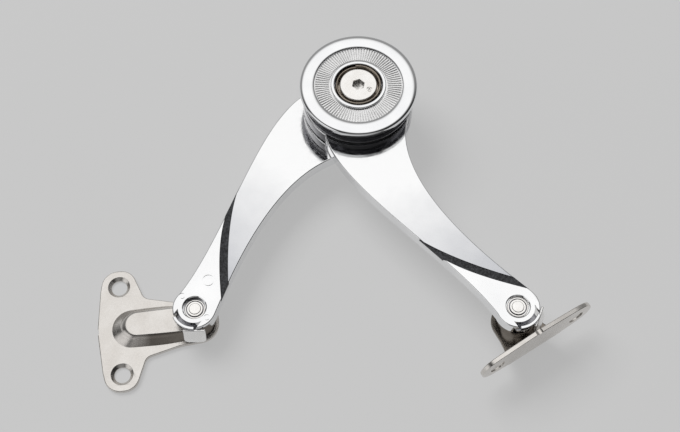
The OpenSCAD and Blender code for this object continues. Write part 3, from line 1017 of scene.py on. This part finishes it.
def make_screw():
    """Flat-headed adjusting screw with a hexagon socket and a punched dimple."""
    rim, top = size_of("adjusting_screw")
    under = top - 2.3
    corners = [(0, 0, 0), (3.3, 0, 0.1), (4, 0.8, 0.15), (4, under, 0.2), (rim, under, 0.25),
               (rim, top, 0.4), (0, top, 0)]
    screw = soft_edges("screw", corners, STILL, 128)
    turn = Matrix.Rotation(math.radians(12), 2)
    hexagon = [tuple(turn @ Vector(p)) for p in circle(0, 0, 2.31, 6)]
    socket = prism(hexagon, top - 2.4, top + 0.12, 0.18, 0.18)
    drill = lathe("cutter", [(0, top - 3.1), (1.9, top - 2.3), (1.9, top - 2.2), (0, top - 2.2)], STILL, 48)
    mark_x, mark_y = 3.6, -2.4
    dimple = lathe("cutter", [(0, top - 0.6), (0.2, top - 0.55), (0.42, top + 0.1), (0, top + 0.1)],
                   Matrix.Translation((mark_x, mark_y, 0)), 24)
    halo = ring_cutter(mark_x, mark_y, 0.85, 0.15, top - 0.4, top + 0.2)
    carve(screw, socket, drill, dimple, halo)
    for turn_up in range(9):
        groove = [(3.55, 1.2 + turn_up), (4.3, 0.85 + turn_up), (4.3, 1.55 + turn_up)]
        carve(screw, lathe("cutter", groove, STILL, 64))
    screw.data.transform(place(HUB, low_z("adjusting_screw")))
    finish(screw, "adjusting_screw_turned", TURNED, "adjusting_screw", "nickel", "adjusting_screw")


# ---------------- brackets

SHEET = 1.6
BOSS = 5.6
REACH = P.xy.length / MM
HOLE = 2.75
SINK = 3.75
HOLE_OFFSET = 16
WALL_STEPS = 20
SHOULDER = 0.6


def capsule(x0, r0, x1, r1, bulge, steps=18):
    """Tapered capsule, anticlockwise, whose sides bulge outwards a little."""
    xm = (x0 + x1) / 2
    ym = (r0 + r1) / 2 + bulge
    low = curve([(x0, -r0), (xm, -ym), (xm, -ym), (x1, -r1)], 14)
    points = arc(x0, 0, r0, 90, 270, steps)[:-1] + low[:-1]
    points += arc(x1, 0, r1, -90, 90, steps)[:-1]
    points += [(x, -y) for x, y in low[::-1]][:-1]
    return points


def between(a, b, share):
    """Outline part of the way from one outline to another with as many points."""
    return [(p[0] + (q[0] - p[0]) * share, p[1] + (q[1] - p[1]) * share) for p, q in zip(a, b)]


def pressed_bracket(outline, holes, foot, crown, pin):
    """Sheet blank with countersunk holes and one pressed boss, hollow underneath."""
    shell = Shell()
    rings = edge_rings(shell, outline, 0, SHEET, 0.32, 0.2, 4)
    top_holes, low_holes = [], []
    for x, y in holes:
        wall = [(HOLE, 0), (HOLE, SHEET - (SINK - HOLE)), (SINK, SHEET - 0.05), (SINK + 0.12, SHEET)]
        bore = [shell.ring(circle(x, y, r, 48)[::-1], z) for r, z in wall]
        shell.strips(bore)
        low_holes.append(bore[0])
        top_holes.append(bore[-1])
    outer, inner = [], []
    for i in range(WALL_STEPS + 1):
        t = i / WALL_STEPS
        # straight up to the shoulder, then rounding over into the crown
        rise = 1.1 * t if t < SHOULDER else 1 - 0.34 * ((1 - t) / (1 - SHOULDER)) ** 1.9
        level = between(foot, crown, -0.06 + 1.06 * t)
        outer.append(shell.ring(level, SHEET + (BOSS - SHEET) * rise))
        inner.append(shell.ring(inset(level, 1.35), (BOSS - SHEET) * rise))
    shell.strips(outer)
    shell.strips(inner)
    bore = [shell.ring(circle(*pin, STUD_BORE, 40), z) for z in (BOSS - SHEET, BOSS)]
    shell.strips(bore)
    shell.fill(outer[-1], [bore[1]])
    shell.fill(inner[-1], [bore[0]])
    shell.fill(rings[-1], [*top_holes, outer[0]])
    shell.fill(rings[0], [*low_holes, inner[0]])
    return shell.build("bracket")


def make_cabinet_bracket():
    """Flat bracket, with a boss under the stud and a centring notch."""
    side = [(-5.15, 22.1, 5.7), (4.3, 22.1, 5.4), (8.5, 10.9, 3.0), (20, 8.0, 12.0), (REACH + 7, 6.9, 6.8)]
    lower = [(x, -y, r) for x, y, r in side]
    upper = side[::-1]
    outline = rounded([*lower, *upper, (-9.33, 0, 80)])
    foot = capsule(4.2, 6.7, REACH, 5.9, 0.7)
    crown = capsule(6.6, 3.9, REACH, 4.2, 0.1)
    holes = [(0, HOLE_OFFSET), (0, -HOLE_OFFSET)]
    bracket = pressed_bracket(outline, holes, foot, crown, (REACH, 0))
    carve(bracket, disc_cutter(-9.3, 0, 2.0, -1, 3, 0, 40))
    bracket.data.transform(CABINET)
    finish(bracket, "cabinet_bracket_pressed", NICKEL, "cabinet_bracket", "nickel", "cabinet_bracket")

    def front_wall(at, normal):
        return 1.7 < at.z < 5.5 and normal.y < -0.25 and normal.z < 0.93

    # painted shade: the boss's front-facing wall is darkened, fading to the plain tint towards its rounded
    # end
    recoat(bracket, SHADED_BOSS, front_wall)


BEND_START = 9.6
BEND_RADIUS = 2.4
BEND_LENGTH = (BEND_RADIUS - SHEET / 2) * math.pi / 2
BEND_STEPS = 12


def bent(co):
    """Carries a point of the flat blank round the bend to the upright plate."""
    along, w = co.x, co.z
    if along <= BEND_START:
        return Vector((along, co.y, w))
    if along < BEND_START + BEND_LENGTH:
        a = (along - BEND_START) / (BEND_RADIUS - SHEET / 2)
        r = BEND_RADIUS - w
        return Vector((BEND_START + r * math.sin(a), co.y, BEND_RADIUS - r * math.cos(a)))
    return Vector((BEND_START + BEND_RADIUS - w, co.y, BEND_RADIUS + along - BEND_START - BEND_LENGTH))


def bend_plate(piece):
    """Cuts a flat bracket into strips across its bend and bends it upright."""
    blank = bmesh.new()
    blank.from_mesh(piece.data)
    for i in range(BEND_STEPS + 1):
        where = BEND_START + BEND_LENGTH * i / BEND_STEPS
        parts = blank.verts[:] + blank.edges[:] + blank.faces[:]
        bmesh.ops.bisect_plane(blank, geom=parts, plane_co=(where, 0, 0), plane_no=(1, 0, 0), dist=1e-4)
    for v in blank.verts:
        v.co = bent(v.co)
    bmesh.ops.recalc_face_normals(blank, faces=blank.faces)
    blank.to_mesh(piece.data)
    blank.free()


def make_flap_bracket():
    """The same kind of blank, bent upright past a short tongue with the stud's boss."""
    rise = BEND_START + BEND_LENGTH - BEND_RADIUS
    hole_x = rise + 8.3
    side = [(-7, 6.9, 6.8), (6.4, 8.0, 14.0), (BEND_START + BEND_LENGTH + 0.1, 11.0, 0.9),
            (hole_x - 4.3, 22.1, 5.4), (hole_x + 5.15, 22.1, 5.7)]
    lower = [(x, -y, r) for x, y, r in side]
    upper = side[::-1]
    outline = rounded([*lower, (hole_x + 9.33, 0, 80), *upper])
    foot = [(-x, y) for x, y in capsule(-2.4, 6.5, 0, 5.9, 0.1)][::-1]
    crown = [(-x, y) for x, y in capsule(-1.7, 4.7, 0, 4.6, 0.0)][::-1]
    holes = [(hole_x, HOLE_OFFSET), (hole_x, -HOLE_OFFSET)]
    bracket = pressed_bracket(outline, holes, foot, crown, (0, 0))
    carve(bracket, disc_cutter(hole_x + 9.3, 0, 2.0, -1, 3, 0, 40))
    bend_plate(bracket)
    bracket.data.transform(FLAP)
    finish(bracket, "flap_bracket_pressed", NICKEL, "flap_bracket", "nickel", "flap_bracket")
    to_blank = FLAP.inverted()
    underside = low_z("flap_bracket") / MM

    def on_tongue(at, normal):
        return (to_blank @ (at * MM)).x < BEND_START and normal.z > -0.5 and at.z > underside + 0.4

    # painted shade: the tongue's upper faces, in the arm's shadow, take the darkened nickel
    recoat(bracket, PAINTED_SHADE_NICKEL, on_tongue)


def make_stud(name, pivot, base, body, top):
    """Riveted stud, from its peened foot up to its collar, its latch groove and its head."""
    foot, shoulder = -2.8, 2
    pin, neck = 1.95, 1.2
    groove = (4.1, 5.7)
    corners = [(0, foot, 0), (3.6, foot, 0.4), (3.6, -SHEET, 0.05), (STUD_BORE, -SHEET, 0),
               (STUD_BORE, 0, 0), (4.2, 0, 0.1), (4.2, shoulder, 0.25), (pin, shoulder, 0.1),
               (pin, groove[0], 0.05),
               (neck, groove[0], 0.05), (neck, groove[1], 0.05), (pin, groove[1], 0.05),
               (pin, top + 4, 0.14), (0, top + 4, 0)]
    piece = soft_edges(name, corners, place(pivot, base), 64)
    finish(piece, name + "_turned", TURNED, body, "nickel", name)


def make_stud_washer(node, pivot, body):
    piece = washer(node, pivot, (2, 5.4), (0.08, 0.15), 72)
    finish(piece, node + "_moulded", NYLON, body, "dark_nylon", node)


# ---------------- everything

# ejector circles on the lower arm's end: place from the pivot, and radius
EJECTOR_MARKS = [(-10.4, -2.2, 1.95), (-0.9, -5.9, 0.95), (0.5, 5.6, 0.95)]
make_arm("lower", LOWER_ARM, SLEEVE_RADIUS, EJECTOR_MARKS)
make_arm("upper", UPPER_ARM, SLEEVE_RADIUS + 0.05, [])
for side, matrix, bush_top in (("lower", LOWER_ARM, 3.7), ("upper", UPPER_ARM, 4.6)):
    arm_body = side + "_arm"
    make_inlay(side, matrix)
    make_bush(side + "_pivot_bush", matrix, arm_body, bush_top)
    make_keeper(side + "_keeper_plate", matrix, arm_body)
    make_release_cap(side + "_release_cap", matrix, side + "_release")
    make_slider(side + "_release_slider", matrix, side + "_release")
    make_spring(side + "_release_spring", matrix, arm_body)
make_hub_base()
make_hub_nut()
make_sleeve()
make_friction_washer("middle_friction_washer")
make_friction_washer("upper_friction_washer")
make_cap()
make_ribbed_ring()
make_bezel()
make_disc_springs()
make_pressure_washer()
make_locking_coil()
make_screw()
make_cabinet_bracket()
make_flap_bracket()
make_stud("cabinet_stud", P, BOSS * MM, "cabinet_bracket", 3.9)
make_stud("flap_stud", Q, low_z("upper_arm") - 4 * MM, "flap_bracket", 4.8)
make_stud_washer("cabinet_stud_washer", P, "cabinet_bracket")
make_stud_washer("flap_stud_washer", Q, "flap_bracket")

# ---------------- stage


def floor():
    """Pale matt floor with the slightest mottle, glowing a little so that shadows stay light."""
    n = Nodes("studio_floor")
    mottle = n.tint(n.noise(5, 2), (0.155, 0.155, 0.155), (0.163, 0.163, 0.163))
    n.link(mottle, n.shader.inputs["Base Color"])
    n.set(Roughness=0.9, Specular_IOR_Level=0.0)
    n.set(Emission_Color=(0.41, 0.41, 0.41, 1), Emission_Strength=1.0)
    shell = Shell()
    ring = shell.ring(circle(0.08, 0.03, 4.0, 64), 0.0)
    shell.fill(ring)
    piece = shell.build("studio_floor")
    piece.location.z = -0.0002
    piece.data.materials.append(n.material)


def softbox(name, spot, target, width, height, watts):
    """Rectangular area lamp at a spot, facing a target."""
    data = bpy.data.lights.new(name, "AREA")
    data.shape = "RECTANGLE"
    data.size = width
    data.size_y = height
    data.energy = watts
    lamp = bpy.data.objects.new(name, data)
    bpy.context.scene.collection.objects.link(lamp)
    lamp.location = spot
    lamp.rotation_euler = (Vector(target) - Vector(spot)).to_track_quat("-Z", "Y").to_euler()
    return lamp


# each light's direction, then its brightness against how directly a ray faces it
SURROUNDINGS = {
    # the broad soft panel overhead, falling away to a dark front
    "panel": ((-0.03, 0.27, 0.962), [(0.0, 0.03), (0.5, 0.03), (0.76, 0.05), (0.83, 0.24), (0.88, 0.68),
                                     (0.93, 1.03), (1.0, 1.06)]),
    # pale wall behind
    "back": ((0.0, 0.995, 0.1), [(0.0, 0.0), (0.2, 0.05), (0.6, 0.26), (1.0, 0.34)]),
    # dim low wall in front
    "front": ((0.0, -0.98, 0.2), [(0.0, 0.0), (0.78, 0.0), (0.93, 0.26), (1.0, 0.3)]),
    # narrow lamp at the left
    "left": ((-0.885, -0.42, 0.2), [(0.0, 0.0), (0.86, 0.0), (0.93, 0.75), (1.0, 0.85)]),
}


def sky():
    """Studio surroundings: the brightest of the panel, the two walls and the side lamp in each direction."""
    world = bpy.data.worlds.new("studio")
    bpy.context.scene.world = world
    world.use_nodes = True
    tree = world.node_tree
    where = tree.nodes.new("ShaderNodeTexCoord")
    total = None
    for towards, levels in SURROUNDINGS.values():
        facing = tree.nodes.new("ShaderNodeVectorMath")
        facing.operation = "DOT_PRODUCT"
        facing.inputs[1].default_value = towards
        ramp = tree.nodes.new("ShaderNodeValToRGB")
        tree.links.new(where.outputs["Generated"], facing.inputs[0])
        tree.links.new(facing.outputs["Value"], ramp.inputs["Fac"])
        stops = ramp.color_ramp.elements
        for position, _ in levels[1:-1]:
            stops.new(position)
        for stop, (_, value) in zip(stops, levels):
            stop.color = (value, value * 0.995, value * 0.99, 1)
        if total is None:
            total = ramp.outputs["Color"]
        else:
            both = tree.nodes.new("ShaderNodeVectorMath")
            both.operation = "MAXIMUM"
            tree.links.new(total, both.inputs[0])
            tree.links.new(ramp.outputs["Color"], both.inputs[1])
            total = both.outputs["Vector"]
    tree.links.new(total, tree.nodes["Background"].inputs["Color"])


def camera():
    """Camera above the front, a little to the left of the object's own axis."""
    azimuth, elevation = math.radians(-6.511), math.radians(63.398)
    distance = 0.4208
    aim = Vector((0.0791, 0.03063, 0.010))
    back = Vector((math.sin(azimuth) * math.cos(elevation), -math.cos(azimuth) * math.cos(elevation),
                   math.sin(elevation)))
    data = bpy.data.cameras.new("camera")
    data.lens = 63.53
    data.sensor_width = 36.0
    data.clip_start = 0.01
    data.clip_end = 20.0
    eye = bpy.data.objects.new("camera", data)
    bpy.context.scene.collection.objects.link(eye)
    eye.location = aim + back * distance
    eye.rotation_euler = (-back).to_track_quat("-Z", "Y").to_euler()
    bpy.context.scene.camera = eye


floor()
sky()
key = softbox("key", (-0.9, 1.2, 2.2), (0.08, 0.03, 0), 1.5, 1.5, 62.0)
key.visible_glossy = False
camera()
bpy.context.scene.view_settings.view_transform = "Standard"
